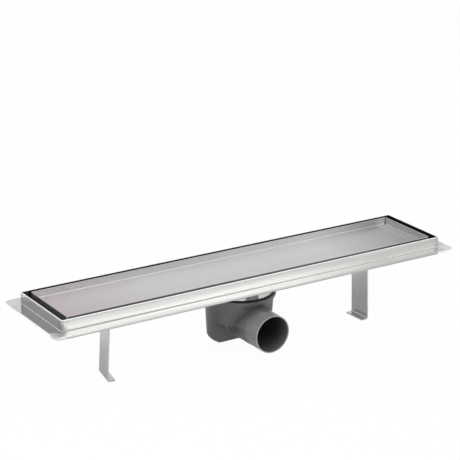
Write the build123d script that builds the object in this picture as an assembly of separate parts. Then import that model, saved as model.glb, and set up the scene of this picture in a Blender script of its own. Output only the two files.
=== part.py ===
from build123d import *
import os
from math import cos, radians, tan

# Tileable linear shower drain: a folded steel trough with a collar flange and a loose tile tray,
# a moulded siphon clamped under its outlet, and two bent strip legs.
# Millimetres. The origin is the middle of the rim, on the plane of the finished floor.
# +X runs along the trough, -Y is the side of the outlet, +Z is up, so depths are negative in Z.

# Trough and collar flange
LENGTH = 600.0
WIDTH = 140.0
FLANGE_WIDTH = 15.0
FLANGE_CORNER_RADIUS = 8.0
FLANGE_DEPTH = 14.0
FLANGE_SHEET = 2.0
FLANGE_EDGE = 3.6
WALL_DEPTH = 19.0
FLOOR_FALL = 5.0
FLOOR_FLAT_WIDTH = 46.0
SHEET = 1.5
BEND_RADIUS = 2.0
CORNER_ROUNDING = 3.0

# Tile tray and its supports
TRAY_END_GAP = 9.5
TRAY_SIDE_GAP = 5.8
TRAY_DEPTH = 9.5
TRAY_SHEET = 1.0
TRAY_BEND_RADIUS = 1.2
TRAY_SEAM = 0.4
SUPPORT_LENGTH = 20.0
SUPPORT_CROWN = 24.0
SUPPORT_END_INSET = 50.0
SUPPORT_DISH_GAP = 30.0

# Outlet dish and strainer
DISH_RADIUS = 45.0
DISH_DEPTH = 36.0
DISH_DRAFT = 10.0
DISH_SHEET = 1.2
DISH_FILLET = 1.0
STRAINER_SHEET = 1.0
STRAINER_BEVEL = 2.0
STRAINER_ROOM = 0.8
STRAINER_CLEARANCE = 1.3
STRAINER_HOLE_RADIUS = 4.0
STRAINER_RINGS = 2
STRAINER_RING_STEP = 15.0

# Siphon
GASKET_THICKNESS = 1.0
GASKET_OVERHANG = 0.1
RIM_OVERHANG = 2.8
RIM_THICKNESS = 3.0
BODY_RADIUS = 44.6
SHOULDER_DEPTH = 46.5
SUMP_RADIUS = 41.4
SUMP_DEPTH = 99.0
SUMP_FILLET = 5.0
BODY_WALL = 2.5
FRONT_FLAT = 11.0
LEDGE_DEPTH = 71.0
WEIR_DEPTH = 62.0
SPIGOT_RADIUS = 25.0
SPIGOT_WALL = 1.5
SPIGOT_REACH = 78.5
SPIGOT_STOP = 0.5
SPIGOT_ROOT = 4.0
SPIGOT_FLARE = 16.0
ROOT_CLEARANCE = 2.2

# Lock ring and water trap
THREAD_RADIUS = 32.0
THREAD_CLEARANCE = 0.2
THREAD_LENGTH = 15.0
RING_WALL = 3.0
RING_FLANGE_GAP = 1.0
RING_FLANGE_THICKNESS = 2.5
RING_NOTCHES = 6
RING_NOTCH_RADIUS = 2.0
DIP_CLEARANCE = 0.4
DIP_FLANGE_LAP = 5.2
DIP_WALL = 2.0
DIP_PLUG_LENGTH = 10.0
DIP_TUBE_STEP = 0.8
DIP_WEIR_GAP = 3.5
DIP_FLOOR_GAP = 5.5
DIP_GRIP_HEIGHT = 2.5
DIP_GRIP_WIDTH = 4.0
SEAL_SECTION = 3.0

# Legs and their fasteners
HEIGHT = 115.0
LEG_END_INSET = 89.8
LEG_WIDTH = 33.0
LEG_SHEET = 2.0
LEG_BEND_RADIUS = 2.0
LEG_TAB_REACH = 14.0
LEG_TAB_END = 11.0
LEG_SPLAY = 2.4
FOOT_LENGTH = 11.0
LEFT_LEG_TURN = -11.0
RIGHT_LEG_TURN = 2.5
STUD_RADIUS = 3.0
STUD_LENGTH = 14.0
STUD_CHAMFER = 0.6
STUD_CLEARANCE = 0.3
NUT_CLEARANCE = 0.1
NUT_FLATS = 10.0
NUT_HEIGHT = 5.0
WASHER_RADIUS = 6.0
WASHER_THICKNESS = 1.6

# Sizes that follow
CHANNEL_LENGTH = LENGTH - 2 * FLANGE_WIDTH
CHANNEL_WIDTH = WIDTH - 2 * FLANGE_WIDTH
FLOOR_DEPTH = WALL_DEPTH + FLOOR_FALL
FLOOR_UNDERSIDE = -FLOOR_DEPTH - SHEET
TRAY_LENGTH = CHANNEL_LENGTH - 2 * SHEET - 2 * TRAY_END_GAP
TRAY_WIDTH = CHANNEL_WIDTH - 2 * SHEET - 2 * TRAY_SIDE_GAP
TRAY_UNDERSIDE = -TRAY_DEPTH - TRAY_SHEET
SUPPORT_INNER_X = DISH_RADIUS + SUPPORT_DISH_GAP + SUPPORT_LENGTH / 2
SUPPORT_OUTER_X = TRAY_LENGTH / 2 - SUPPORT_END_INSET - SUPPORT_LENGTH / 2
DISH_SEAT = -DISH_DEPTH + DISH_SHEET
STRAINER_RADIUS = DISH_RADIUS - DISH_SHEET - STRAINER_CLEARANCE
SIPHON_TOP = -DISH_DEPTH - GASKET_THICKNESS
SIPHON_DECK = SIPHON_TOP - RIM_THICKNESS
RIM_RADIUS = DISH_RADIUS + RIM_OVERHANG
ROOT_RADIUS = SPIGOT_RADIUS + SPIGOT_ROOT
SPIGOT_DEPTH = ROOT_RADIUS + ROOT_CLEARANCE - SIPHON_DECK
SPIGOT_NECK = SPIGOT_RADIUS + SPIGOT_STOP
SPIGOT_NECK_END = BODY_RADIUS + SPIGOT_ROOT
RING_TOP = DISH_SEAT + RING_FLANGE_THICKNESS
RING_OUTER = THREAD_RADIUS - THREAD_CLEARANCE
RING_BORE = RING_OUTER - RING_WALL
RING_FLANGE_RADIUS = STRAINER_RADIUS - STRAINER_SHEET - RING_FLANGE_GAP
DIP_PLUG_RADIUS = RING_BORE - DIP_CLEARANCE
DIP_FLANGE_RADIUS = RING_BORE + DIP_FLANGE_LAP
DIP_TUBE_RADIUS = RING_BORE - SEAL_SECTION - DIP_TUBE_STEP
DIP_FRONT = FRONT_FLAT - BODY_WALL - DIP_WEIR_GAP
DIP_END = -SUMP_DEPTH + BODY_WALL + DIP_FLOOR_GAP
DIP_TOP = RING_TOP + DIP_WALL + DIP_GRIP_HEIGHT
STRAINER_TOP = DIP_TOP + STRAINER_ROOM + STRAINER_SHEET
STUD_X = CHANNEL_LENGTH / 2 - LEG_END_INSET - LEG_TAB_REACH
FAR = LENGTH


def folded_section(points, sheet, bend):
    """Section of a folded sheet: its middle line, rounded at the bends, with half the sheet on each side."""
    middle = FilletPolyline(*points, radius=bend + sheet / 2)
    left = offset(middle, sheet / 2, side=Side.LEFT, closed=False)
    right = offset(middle, sheet / 2, side=Side.RIGHT, closed=False)
    return make_face([left, right, Line(left @ 1, right @ 0), Line(right @ 1, left @ 0)])


def disc(radius, low, high):
    """Upright round bar about Z between two heights."""
    return Pos(0, 0, low) * extrude(Circle(radius), amount=high - low)


def ring(outer, inner, low, high):
    """Upright ring about Z between two heights."""
    return disc(outer, low, high) - disc(inner, low, high)


def turned(points):
    """Solid of revolution about Z from a closed outline of (radius, height) points."""
    return revolve(Plane.XZ * make_face(Polyline(*points, close=True)), Axis.Z)


def trough_inner():
    """The trough's wetted cross line, from rim to rim: walls, falls and the flat middle band."""
    wall = CHANNEL_WIDTH / 2 - SHEET
    half = FLOOR_FLAT_WIDTH / 2
    points = [(-wall, 0), (-wall, -WALL_DEPTH), (-half, -FLOOR_DEPTH),
              (half, -FLOOR_DEPTH), (wall, -WALL_DEPTH), (wall, 0)]
    return FilletPolyline(*points, radius=BEND_RADIUS)


def trough_outer():
    """The same line on the outer face of the sheet."""
    return offset(trough_inner(), SHEET, side=Side.RIGHT, closed=False)


def filled_bar(line, length):
    """Everything inside a trough line, up to the rim, as a bar along X."""
    face = make_face([line, Line(line @ 1, line @ 0)])
    return extrude(Plane.YZ * face, amount=length / 2, both=True)


def channel_plan():
    """Outline of the welded trough from above, its corners dressed round."""
    return RectangleRounded(CHANNEL_LENGTH, CHANNEL_WIDTH, CORNER_ROUNDING)


def channel_trough():
    """Folded trough with the round hole that the outlet dish is welded into."""
    length = CHANNEL_LENGTH - 2 * SHEET
    sheet = filled_bar(trough_outer(), length) - filled_bar(trough_inner(), length)
    return (sheet & extrude(channel_plan(), amount=FLOOR_UNDERSIDE)) - dish_outside()


def end_plate(side):
    """Flat end of the trough, cut to the trough's outer section."""
    plate = Pos(side * (CHANNEL_LENGTH - SHEET) / 2, 0, 0) * filled_bar(trough_outer(), SHEET)
    return plate & extrude(channel_plan(), amount=FLOOR_UNDERSIDE)


def collar_flange():
    """Flat collar with rounded corners and a turned-down edge, slipped over the trough and welded on."""
    outline = RectangleRounded(LENGTH, WIDTH, FLANGE_CORNER_RADIUS)
    inside = RectangleRounded(LENGTH - 2 * FLANGE_SHEET, WIDTH - 2 * FLANGE_SHEET,
                              FLANGE_CORNER_RADIUS - FLANGE_SHEET)
    flat = extrude(outline - channel_plan(), amount=-FLANGE_SHEET)
    edge = extrude(outline - inside, amount=-FLANGE_EDGE)
    return Pos(0, 0, -FLANGE_DEPTH) * (flat + edge)


def tray_wall(run, reach):
    """One folded-up wall of the tray along X, with its bend; reach is the tray's half size across it."""
    low = TRAY_UNDERSIDE
    setback = TRAY_SHEET + TRAY_BEND_RADIUS
    middle = reach - TRAY_SHEET / 2
    floor = low + TRAY_SHEET / 2
    points = [(middle - 2 * setback, floor), (middle, floor), (middle, 0)]
    section = folded_section(points, TRAY_SHEET, TRAY_BEND_RADIUS)
    wall = extrude(Plane.YZ * section, amount=run / 2 - setback, both=True)
    upright = Plane.YZ * make_face(Polyline((reach - TRAY_SHEET, low + setback), (reach, low + setback),
                                            (reach, 0), (reach - TRAY_SHEET, 0), close=True))
    return wall + extrude(upright, amount=run / 2 - TRAY_SHEET - TRAY_SEAM, both=True)


def tile_tray():
    """Pan for the tile: a floor with four folded walls, relieved and left open at the corner seams."""
    setback = TRAY_SHEET + TRAY_BEND_RADIUS
    floor = Rectangle(TRAY_LENGTH - 2 * setback, TRAY_WIDTH - 2 * setback)
    tray = Pos(0, 0, TRAY_UNDERSIDE) * extrude(floor, amount=TRAY_SHEET)
    for turn, run, reach in ((0, TRAY_LENGTH, TRAY_WIDTH / 2), (90, TRAY_WIDTH, TRAY_LENGTH / 2)):
        wall = tray_wall(run, reach)
        tray = tray + Rot(0, 0, turn) * wall + Rot(0, 0, turn + 180) * wall
    return tray


def tray_support(x):
    """Hat bracket folded from strip, from the trough's floor up to the tray's underside."""
    crown = TRAY_UNDERSIDE - SHEET / 2
    foot = -FLOOR_DEPTH + SHEET / 2
    half = SUPPORT_CROWN / 2 - SHEET / 2
    edge = FLOOR_FLAT_WIDTH / 2 - BEND_RADIUS
    points = [(-edge, foot), (-half, foot), (-half, crown), (half, crown), (half, foot), (edge, foot)]
    section = folded_section(points, SHEET, BEND_RADIUS)
    return Pos(x, 0, 0) * extrude(Plane.YZ * section, amount=SUPPORT_LENGTH / 2, both=True)


def dish_cone(radius, low):
    """Solid tapered cup up to the rim, widening by the dish's draft from its radius at a height."""
    top_radius = radius - low * tan(radians(DISH_DRAFT))
    return turned([(0, low), (radius, low), (top_radius, 0), (0, 0)])


def dish_outside():
    """Outside of the dish, up to the rim."""
    cup = dish_cone(DISH_RADIUS, -DISH_DEPTH)
    return fillet(cup.edges().group_by(Axis.Z)[0], DISH_FILLET + DISH_SHEET)


def outlet_dish():
    """Drawn dish with tapered wall and flat seat, its top edge trimmed to the fall of the floor."""
    hollow = dish_cone(DISH_RADIUS - DISH_SHEET, DISH_SEAT)
    hollow = fillet(hollow.edges().group_by(Axis.Z)[0], DISH_FILLET)
    hole = disc(THREAD_RADIUS, -DISH_DEPTH, DISH_SEAT)
    return dish_outside() - hollow - hole - filled_bar(trough_inner(), CHANNEL_LENGTH)


def hair_strainer():
    """Pressed cover with a bevelled edge and rings of round holes, standing on the dish's seat by its skirt."""
    cover = disc(STRAINER_RADIUS, DISH_SEAT, STRAINER_TOP)
    cover = chamfer(cover.edges().group_by(Axis.Z)[-1], STRAINER_BEVEL + STRAINER_SHEET / 2)
    hollow = disc(STRAINER_RADIUS - STRAINER_SHEET, DISH_SEAT, STRAINER_TOP - STRAINER_SHEET)
    hollow = chamfer(hollow.edges().group_by(Axis.Z)[-1], STRAINER_BEVEL)
    drill = disc(STRAINER_HOLE_RADIUS, DISH_SEAT, STRAINER_TOP)
    holes = [drill]
    for number in range(1, STRAINER_RINGS + 1):
        holes += [spot * drill for spot in PolarLocations(number * STRAINER_RING_STEP, 6 * number)]
    return cover - hollow - holes


def dish_gasket():
    """Flat rubber ring squeezed between the dish and the siphon."""
    return ring(DISH_RADIUS + GASKET_OVERHANG, THREAD_RADIUS, SIPHON_TOP, -DISH_DEPTH)


def along_spigot(radius, start, end):
    """Round bar on the spigot's axis, between two reaches to the front."""
    return Pos(0, -start, -SPIGOT_DEPTH) * Rot(90, 0, 0) * extrude(Circle(radius), amount=end - start)


def front_block(front, top):
    """Block that fills everything in front of a plane across the siphon, up to a height."""
    return Pos(0, -front, top) * Box(FAR, FAR, FAR, align=(Align.CENTER, Align.MAX, Align.MAX))


def spigot_root(front):
    """Cone that eases the spigot's neck into the wall it stands on."""
    cone = Cone(ROOT_RADIUS, SPIGOT_NECK, SPIGOT_ROOT, align=(Align.CENTER, Align.CENTER, Align.MIN))
    return Pos(0, -front, -SPIGOT_DEPTH) * Rot(90, 0, 0) * cone


def spigot_flare():
    """Trumpet that eases the spigot's neck into the round wall above the ledge."""
    start = SPIGOT_NECK_END - SPIGOT_FLARE
    curve = TangentArc((SPIGOT_NECK, -SPIGOT_NECK_END), (ROOT_RADIUS, -start), tangent=(0, 1))
    rest = Polyline(curve @ 1, (ROOT_RADIUS, -FRONT_FLAT), (0, -FRONT_FLAT), (0, -SPIGOT_NECK_END), curve @ 0)
    return Pos(0, 0, -SPIGOT_DEPTH) * revolve(make_face([curve, rest]), Axis.Y)


def siphon_shell():
    """Outside of the siphon: a tapered cup, cut flat at the front below its ledge, with the outlet spigot."""
    cup = turned([(0, SIPHON_TOP), (RIM_RADIUS, SIPHON_TOP), (RIM_RADIUS, SIPHON_DECK),
                  (BODY_RADIUS, -SHOULDER_DEPTH), (SUMP_RADIUS, -SUMP_DEPTH), (0, -SUMP_DEPTH)])
    cup = fillet(cup.edges().group_by(Axis.Z)[0], SUMP_FILLET)
    cup = cup + spigot_flare() - front_block(FRONT_FLAT, -LEDGE_DEPTH)
    neck = along_spigot(SPIGOT_NECK, FRONT_FLAT, SPIGOT_NECK_END) + spigot_root(FRONT_FLAT)
    spigot = neck + along_spigot(SPIGOT_RADIUS, SPIGOT_NECK_END, SPIGOT_REACH)
    return cup + (spigot - front_block(0, -SUMP_DEPTH))


def siphon_hollow():
    """Inside of the siphon: round chamber, sump behind the weir, and the spigot's bore in front of it."""
    draft = (BODY_RADIUS - SUMP_RADIUS) / (SUMP_DEPTH - SHOULDER_DEPTH)
    top_radius = BODY_RADIUS - BODY_WALL
    sump_radius = SUMP_RADIUS - BODY_WALL + draft * BODY_WALL
    sump_floor = -SUMP_DEPTH + BODY_WALL
    ledge_floor = -LEDGE_DEPTH + BODY_WALL
    chamber = turned([(0, SIPHON_DECK), (top_radius, SIPHON_DECK), (top_radius, -SHOULDER_DEPTH),
                      (sump_radius, sump_floor), (0, sump_floor)])
    chamber = chamber - front_block(FRONT_FLAT - BODY_WALL, ledge_floor)
    weir = Pos(0, -FRONT_FLAT, -WEIR_DEPTH) * Box(FAR, BODY_WALL, SUMP_DEPTH,
                                                  align=(Align.CENTER, Align.MIN, Align.MAX))
    bore = along_spigot(SPIGOT_RADIUS - SPIGOT_WALL, FRONT_FLAT, SPIGOT_REACH)
    return chamber - weir + bore


def siphon_body():
    """Moulded siphon: shell less hollow, with the threaded collar that the lock ring screws into."""
    collar = ring(THREAD_RADIUS + RING_WALL, THREAD_RADIUS, SIPHON_DECK - THREAD_LENGTH, SIPHON_DECK)
    mouth = disc(THREAD_RADIUS, SIPHON_DECK, SIPHON_TOP)
    return siphon_shell() - siphon_hollow() - mouth + collar


def lock_ring():
    """Flanged ring screwed into the siphon from above, with notches for a spanner."""
    body = ring(RING_OUTER, RING_BORE, SIPHON_DECK - THREAD_LENGTH, DISH_SEAT)
    flange = ring(RING_FLANGE_RADIUS, RING_BORE, DISH_SEAT, RING_TOP)
    notch = Pos(0, 0, DISH_SEAT) * Cylinder(RING_NOTCH_RADIUS, 2 * RING_FLANGE_THICKNESS)
    notches = [spot * notch for spot in PolarLocations(RING_FLANGE_RADIUS, RING_NOTCHES)]
    return body + flange - notches


def half_round(radius, front, low, high):
    """Upright bar: a round one about Z, cut flat at the front."""
    bar = disc(radius, low, high)
    return bar - front_block(front, high)


def dip_tube():
    """Trap insert: a plug with a seal groove and a half-round tube that dips into the sump."""
    plug_end = RING_TOP - DIP_PLUG_LENGTH
    groove = RING_BORE - SEAL_SECTION
    middle = RING_TOP - DIP_PLUG_LENGTH / 2
    flange = disc(DIP_FLANGE_RADIUS, RING_TOP, RING_TOP + DIP_WALL)
    plug = disc(DIP_PLUG_RADIUS, plug_end, RING_TOP)
    plug = plug - ring(DIP_PLUG_RADIUS, groove, middle - SEAL_SECTION / 2, middle + SEAL_SECTION / 2)
    core = disc(groove - DIP_WALL, plug_end, RING_TOP - DIP_WALL) & front_block(DIP_FRONT, RING_TOP)
    tube = half_round(DIP_TUBE_RADIUS, DIP_FRONT, DIP_END, RING_TOP)
    way = half_round(DIP_TUBE_RADIUS - DIP_WALL, DIP_FRONT - DIP_WALL, DIP_END, RING_TOP + DIP_WALL)
    grip = Pos(0, 0, RING_TOP) * Box(DIP_GRIP_WIDTH, DIP_TUBE_RADIUS, DIP_TOP - RING_TOP,
                                     align=(Align.CENTER, Align.MIN, Align.MIN))
    return flange + plug - core + tube - way + grip


def dip_tube_seal():
    """Square-section sealing ring in the plug's groove, against the lock ring's bore."""
    middle = RING_TOP - DIP_PLUG_LENGTH / 2
    return ring(RING_BORE, RING_BORE - SEAL_SECTION, middle - SEAL_SECTION / 2, middle + SEAL_SECTION / 2)


def leg_place(side, turn):
    """Where a leg stands: its stud under the floor, the leg turned about it, reaching outwards."""
    return Pos(side * STUD_X, 0, FLOOR_UNDERSIDE) * Rot(0, 0, turn if side > 0 else turn + 180)


def leg():
    """Strip bent to a tab and a foot turned back under it, a little splayed, its stud's hole at the origin."""
    tab = -LEG_SHEET / 2
    sole = -HEIGHT - FLOOR_UNDERSIDE + LEG_SHEET / 2
    heel = LEG_TAB_REACH + (tab - sole) * tan(radians(LEG_SPLAY))
    points = [(-LEG_TAB_END, tab), (LEG_TAB_REACH, tab), (heel, sole),
              (heel + LEG_SHEET / 2 - FOOT_LENGTH, sole)]
    section = folded_section(points, LEG_SHEET, LEG_BEND_RADIUS)
    strip = extrude(Plane.XZ * section, amount=LEG_WIDTH / 2, both=True)
    return strip - Cylinder(STUD_RADIUS + STUD_CLEARANCE, 4 * LEG_SHEET)


def stud():
    """Weld stud, from the floor's underside down."""
    bar = disc(STUD_RADIUS, -STUD_LENGTH, 0)
    return chamfer(bar.edges().group_by(Axis.Z)[0], STUD_CHAMFER)


def washer():
    """Plain washer under the leg's tab."""
    return ring(WASHER_RADIUS, STUD_RADIUS + STUD_CLEARANCE, -LEG_SHEET - WASHER_THICKNESS, -LEG_SHEET)


def nut():
    """Hexagon nut under the washer, its corners turned off by a cone."""
    top = -LEG_SHEET - WASHER_THICKNESS
    corner = NUT_FLATS / 2 / cos(radians(30))
    hexagon = Pos(0, 0, top - NUT_HEIGHT) * extrude(RegularPolygon(corner, 6), amount=NUT_HEIGHT)
    slope = (corner - NUT_FLATS / 2) * tan(radians(30))
    blank = turned([(0, top), (corner, top), (corner, top - NUT_HEIGHT + slope),
                    (NUT_FLATS / 2, top - NUT_HEIGHT), (0, top - NUT_HEIGHT)])
    return (hexagon & blank) - Cylinder(STUD_RADIUS + NUT_CLEARANCE, 4 * NUT_HEIGHT)


def export(name, shape):
    """Write one node's STEP file."""
    export_step(shape, f"parts/{name}.step")


os.makedirs("parts", exist_ok=True)
LEFT_PLACE = leg_place(-1, LEFT_LEG_TURN)
RIGHT_PLACE = leg_place(1, RIGHT_LEG_TURN)

export("channel_trough", channel_trough())
export("end_plate_left", end_plate(-1))
export("end_plate_right", end_plate(1))
export("collar_flange", collar_flange())
export("tile_tray", tile_tray())
for side, sign in (("left", -1), ("right", 1)):
    export(f"tray_support_{side}_inner", tray_support(sign * SUPPORT_INNER_X))
    export(f"tray_support_{side}_outer", tray_support(sign * SUPPORT_OUTER_X))
export("outlet_dish", outlet_dish())
export("hair_strainer", hair_strainer())
export("dish_gasket", dish_gasket())
export("siphon_body", siphon_body())
export("lock_ring", lock_ring())
export("dip_tube", dip_tube())
export("dip_tube_seal", dip_tube_seal())
export("left_leg", LEFT_PLACE * leg())
export("right_leg", RIGHT_PLACE * leg())
for name, piece in (("leg_studs", stud()), ("leg_washers", washer()), ("leg_nuts", nut())):
    export(name, Compound(children=[LEFT_PLACE * piece, RIGHT_PLACE * piece]))
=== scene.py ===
"""Looks of a tileable linear shower drain: finishes, rounded edges, welds and threads round its solids.

Everything is in metres in the solids' own frame: X along the trough, -Y the outlet's side, +Z up,
with the origin in the middle of the rim, on the finished floor.
"""

import logging
import math
from dataclasses import dataclass
from enum import Enum
from typing import Optional, Sequence, Union

import bmesh
import bpy
from mathutils import Matrix, Vector, noise


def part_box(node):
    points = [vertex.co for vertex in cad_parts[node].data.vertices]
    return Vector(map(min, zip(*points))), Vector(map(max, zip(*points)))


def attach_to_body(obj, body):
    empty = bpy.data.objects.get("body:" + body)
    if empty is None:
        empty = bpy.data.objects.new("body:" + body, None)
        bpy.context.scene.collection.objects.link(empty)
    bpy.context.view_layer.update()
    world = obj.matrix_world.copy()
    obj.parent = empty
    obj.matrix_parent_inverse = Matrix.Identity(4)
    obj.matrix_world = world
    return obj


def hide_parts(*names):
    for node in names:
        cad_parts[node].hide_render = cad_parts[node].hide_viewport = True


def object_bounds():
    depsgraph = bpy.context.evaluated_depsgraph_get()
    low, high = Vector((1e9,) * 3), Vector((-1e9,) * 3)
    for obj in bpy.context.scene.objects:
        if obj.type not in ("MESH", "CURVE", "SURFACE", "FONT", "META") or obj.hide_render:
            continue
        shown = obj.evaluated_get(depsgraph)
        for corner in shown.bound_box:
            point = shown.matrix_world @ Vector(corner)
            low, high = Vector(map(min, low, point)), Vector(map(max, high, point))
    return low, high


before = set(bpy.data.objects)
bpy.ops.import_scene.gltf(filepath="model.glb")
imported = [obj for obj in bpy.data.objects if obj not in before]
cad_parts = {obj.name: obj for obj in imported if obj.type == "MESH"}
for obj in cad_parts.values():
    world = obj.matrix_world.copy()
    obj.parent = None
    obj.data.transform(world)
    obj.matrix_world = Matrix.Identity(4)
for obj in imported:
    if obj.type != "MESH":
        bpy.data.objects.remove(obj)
CAD_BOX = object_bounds()
LOG = logging.getLogger("shower_drain")

BODY = "root"
MM = 0.001
NOISE_SPREAD = (0.3, 0.7)
MIDDLE = 0.5
FINE_CELLS = 100.0
STREAK_ALONG = 0.9
STREAK_ACROSS = 1.0 / 6.0
TROUGH_HALF = (0.285, 0.055)
MIX_FACTOR, MIX_FIRST, MIX_SECOND, MIX_RESULT = 0, 6, 7, 2

Triple = tuple[float, float, float]
Colour = Triple
Cells = Triple
Point = Triple
Range = tuple[float, float]
WeldStep = tuple[Vector, Vector, Vector]
Number = Union["Signal", float]
Fed = Union["Signal", float, Sequence[float]]


class Signal:
    """A node's output socket that takes part in Python expressions."""

    def __init__(self, tree: "NodeTree", socket: Optional[bpy.types.NodeSocket]) -> None:
        """Wrap a socket of a tree."""
        self.tree = tree
        self.socket = socket

    def _math(self, operation: str, first: Number, second: Number) -> "Signal":
        """The result of one Math node."""
        return self.tree.node("ShaderNodeMath", {"operation": operation}, {0: first, 1: second})

    def __add__(self, other: Number) -> "Signal":
        """self + other."""
        return self._math("ADD", self, other)

    def __radd__(self, other: Number) -> "Signal":
        """other + self."""
        return self._math("ADD", other, self)

    def __sub__(self, other: Number) -> "Signal":
        """self - other."""
        return self._math("SUBTRACT", self, other)

    def __rsub__(self, other: Number) -> "Signal":
        """other - self."""
        return self._math("SUBTRACT", other, self)

    def __mul__(self, other: Number) -> "Signal":
        """self * other."""
        return self._math("MULTIPLY", self, other)

    def __rmul__(self, other: Number) -> "Signal":
        """other * self."""
        return self._math("MULTIPLY", other, self)

    def __abs__(self) -> "Signal":
        """Size without the sign."""
        return self._math("ABSOLUTE", self, 0.0)

    def __lt__(self, other: Number) -> "Signal":
        """1 where self is smaller than other, else 0."""
        return self._math("LESS_THAN", self, other)

    def __or__(self, other: Number) -> "Signal":
        """The larger of the two, which for masks is either one."""
        return self._math("MAXIMUM", self, other)


class NodeTree:
    """One shader tree, filled through a single node method."""

    def __init__(self, owner: Union[bpy.types.Material, bpy.types.World]) -> None:
        """Take over and empty a tree.

        Args:
            owner: The material or world that has it.
        """
        owner.use_nodes = True
        self.tree = owner.node_tree
        self.tree.nodes.clear()

    def node(self, kind: str, settings: dict[str, object], inputs: dict[Union[str, int], Fed],
             output: Union[str, int] = 0) -> Signal:
        """Add a node.

        Args:
            kind: The node's type.
            settings: Properties set first.
            inputs: Values or links by socket name or number.
            output: The socket that is handed back.

        Returns:
            The chosen output's signal.
        """
        made = self.tree.nodes.new(kind)
        for name, value in settings.items():
            setattr(made, name, value)
        for key, value in inputs.items():
            if isinstance(value, Signal):
                self.tree.links.new(value.socket, made.inputs[key])
            else:
                made.inputs[key].default_value = value
        return Signal(self, made.outputs[output] if made.outputs else None)

    def place(self, kind: str = "Object") -> Signal:
        """The surface point in the drain's frame, or another kind of texture coordinate."""
        return self.node("ShaderNodeTexCoord", {}, {}, kind)

    def axis(self, name: str, kind: str = "Object") -> Signal:
        """One of X, Y and Z of a texture coordinate."""
        return self.node("ShaderNodeSeparateXYZ", {}, {0: self.place(kind)}, name)

    def stretched_noise(self, stretch: Sequence[float], detail: float = 2.0) -> Signal:
        """Noise whose cells are 1 / stretch metres long in each direction.

        Args:
            stretch: Cells per metre along X, Y and Z.
            detail: Octaves.

        Returns:
            The noise, about 0.5 in the middle.
        """
        point = self.node("ShaderNodeVectorMath", {"operation": "MULTIPLY"}, {
            0: self.place(), 1: tuple(stretch)})
        return self.node("ShaderNodeTexNoise", {}, {"Vector": point, "Scale": 1.0, "Detail": detail}, "Fac")

    def patches(self, cells: Sequence[float], spread: Range = NOISE_SPREAD, detail: float = 3.0) -> Signal:
        """Noise with some cells per metre along X, Y and Z, whose middle values are spread over 0 to 1."""
        return self.contrast(self.stretched_noise(cells, detail), *spread)

    def contrast(self, value: Number, low: float, high: float) -> Signal:
        """A signal that is 0 at the value low and 1 at the value high, and is clamped beyond them."""
        return self.node("ShaderNodeMapRange", {"clamp": True}, {
            "Value": value, "From Min": low, "From Max": high})

    def band(self, value: Number, rise: Range, fall: Range) -> Signal:
        """A mask that comes up over the rise of a value and fades out again over its fall."""
        return self.contrast(value, *rise) * (1.0 - self.contrast(value, *fall))

    def mixed(self, factor: Number, first: Fed, second: Fed) -> Signal:
        """Mix two colours, where a factor of 0 gives the first."""
        return self.node("ShaderNodeMix", {"data_type": "RGBA"}, {
            MIX_FACTOR: factor, MIX_FIRST: first, MIX_SECOND: second}, MIX_RESULT)

    def bump(self, height: Number, strength: float, distance: float) -> Signal:
        """A normal from a height, of which 1 stands for the distance in metres."""
        return self.node("ShaderNodeBump", {}, {"Height": height, "Strength": strength, "Distance": distance})

    def coat(self, colour: Signal, rough: Signal, normal: Signal, more: dict[str, float]) -> Signal:
        """The main surface shader, with the values of its other sockets in more."""
        inputs = {"Base Color": colour, "Roughness": rough, "Normal": normal, **more}
        return self.node("ShaderNodeBsdfPrincipled", {}, inputs)

    def ray(self, kind: str) -> Signal:
        """1 for rays of one kind, such as "Is Camera Ray", 0 for all others."""
        return self.node("ShaderNodeLightPath", {}, {}, kind)

    def mirror_ray(self) -> Signal:
        """1 for rays that come off metal or gloss or through glass, 0 for all others."""
        return self.ray("Is Glossy Ray") | self.ray("Is Transmission Ray")


def opaque(colour: Colour) -> tuple[float, float, float, float]:
    """A colour with full alpha."""
    return (*colour, 1.0)


def scaled(colour: Colour, level: float) -> tuple[float, float, float, float]:
    """A colour made lighter or darker, with full alpha."""
    return opaque(tuple(level * part for part in colour))


BLACK = opaque((0.0, 0.0, 0.0))
WHITE = opaque((1.0, 1.0, 1.0))


class GrainRun(Enum):
    """Which way a sheet was ground, as noise cells per metre along X, Y and Z."""

    LENGTHWISE = (5.0, 2600.0, 2600.0)
    CROSSWISE = (2600.0, 12.0, 2600.0)
    UPRIGHT = (2600.0, 2600.0, 14.0)

    def broad(self) -> tuple[float, ...]:
        """The same run with streaks several times wider."""
        return tuple(cells * (STREAK_ALONG if cells < FINE_CELLS else STREAK_ACROSS) for cells in self.value)


@dataclass(frozen=True)
class Finish:
    """Base of all finishes: a named material that is made once.

    Attributes:
        name: The material's name.
        slot: The record's slot that it stands for; not used here.
        colour: Main colour.
        roughness: Middle roughness.
    """

    name: str
    slot: str
    colour: Colour
    roughness: float

    def material(self) -> bpy.types.Material:
        """Find the finish's material, or make it at its first use.

        Returns:
            The material.
        """
        found = bpy.data.materials.get(self.name)
        if found is None:
            found = bpy.data.materials.new(self.name)
            tree = NodeTree(found)
            tree.node("ShaderNodeOutputMaterial", {}, {"Surface": self.surface(tree)})
        return found

    def surface(self, tree: NodeTree) -> Signal:
        """Build the surface shader; each finish has its own."""
        raise NotImplementedError


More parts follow.
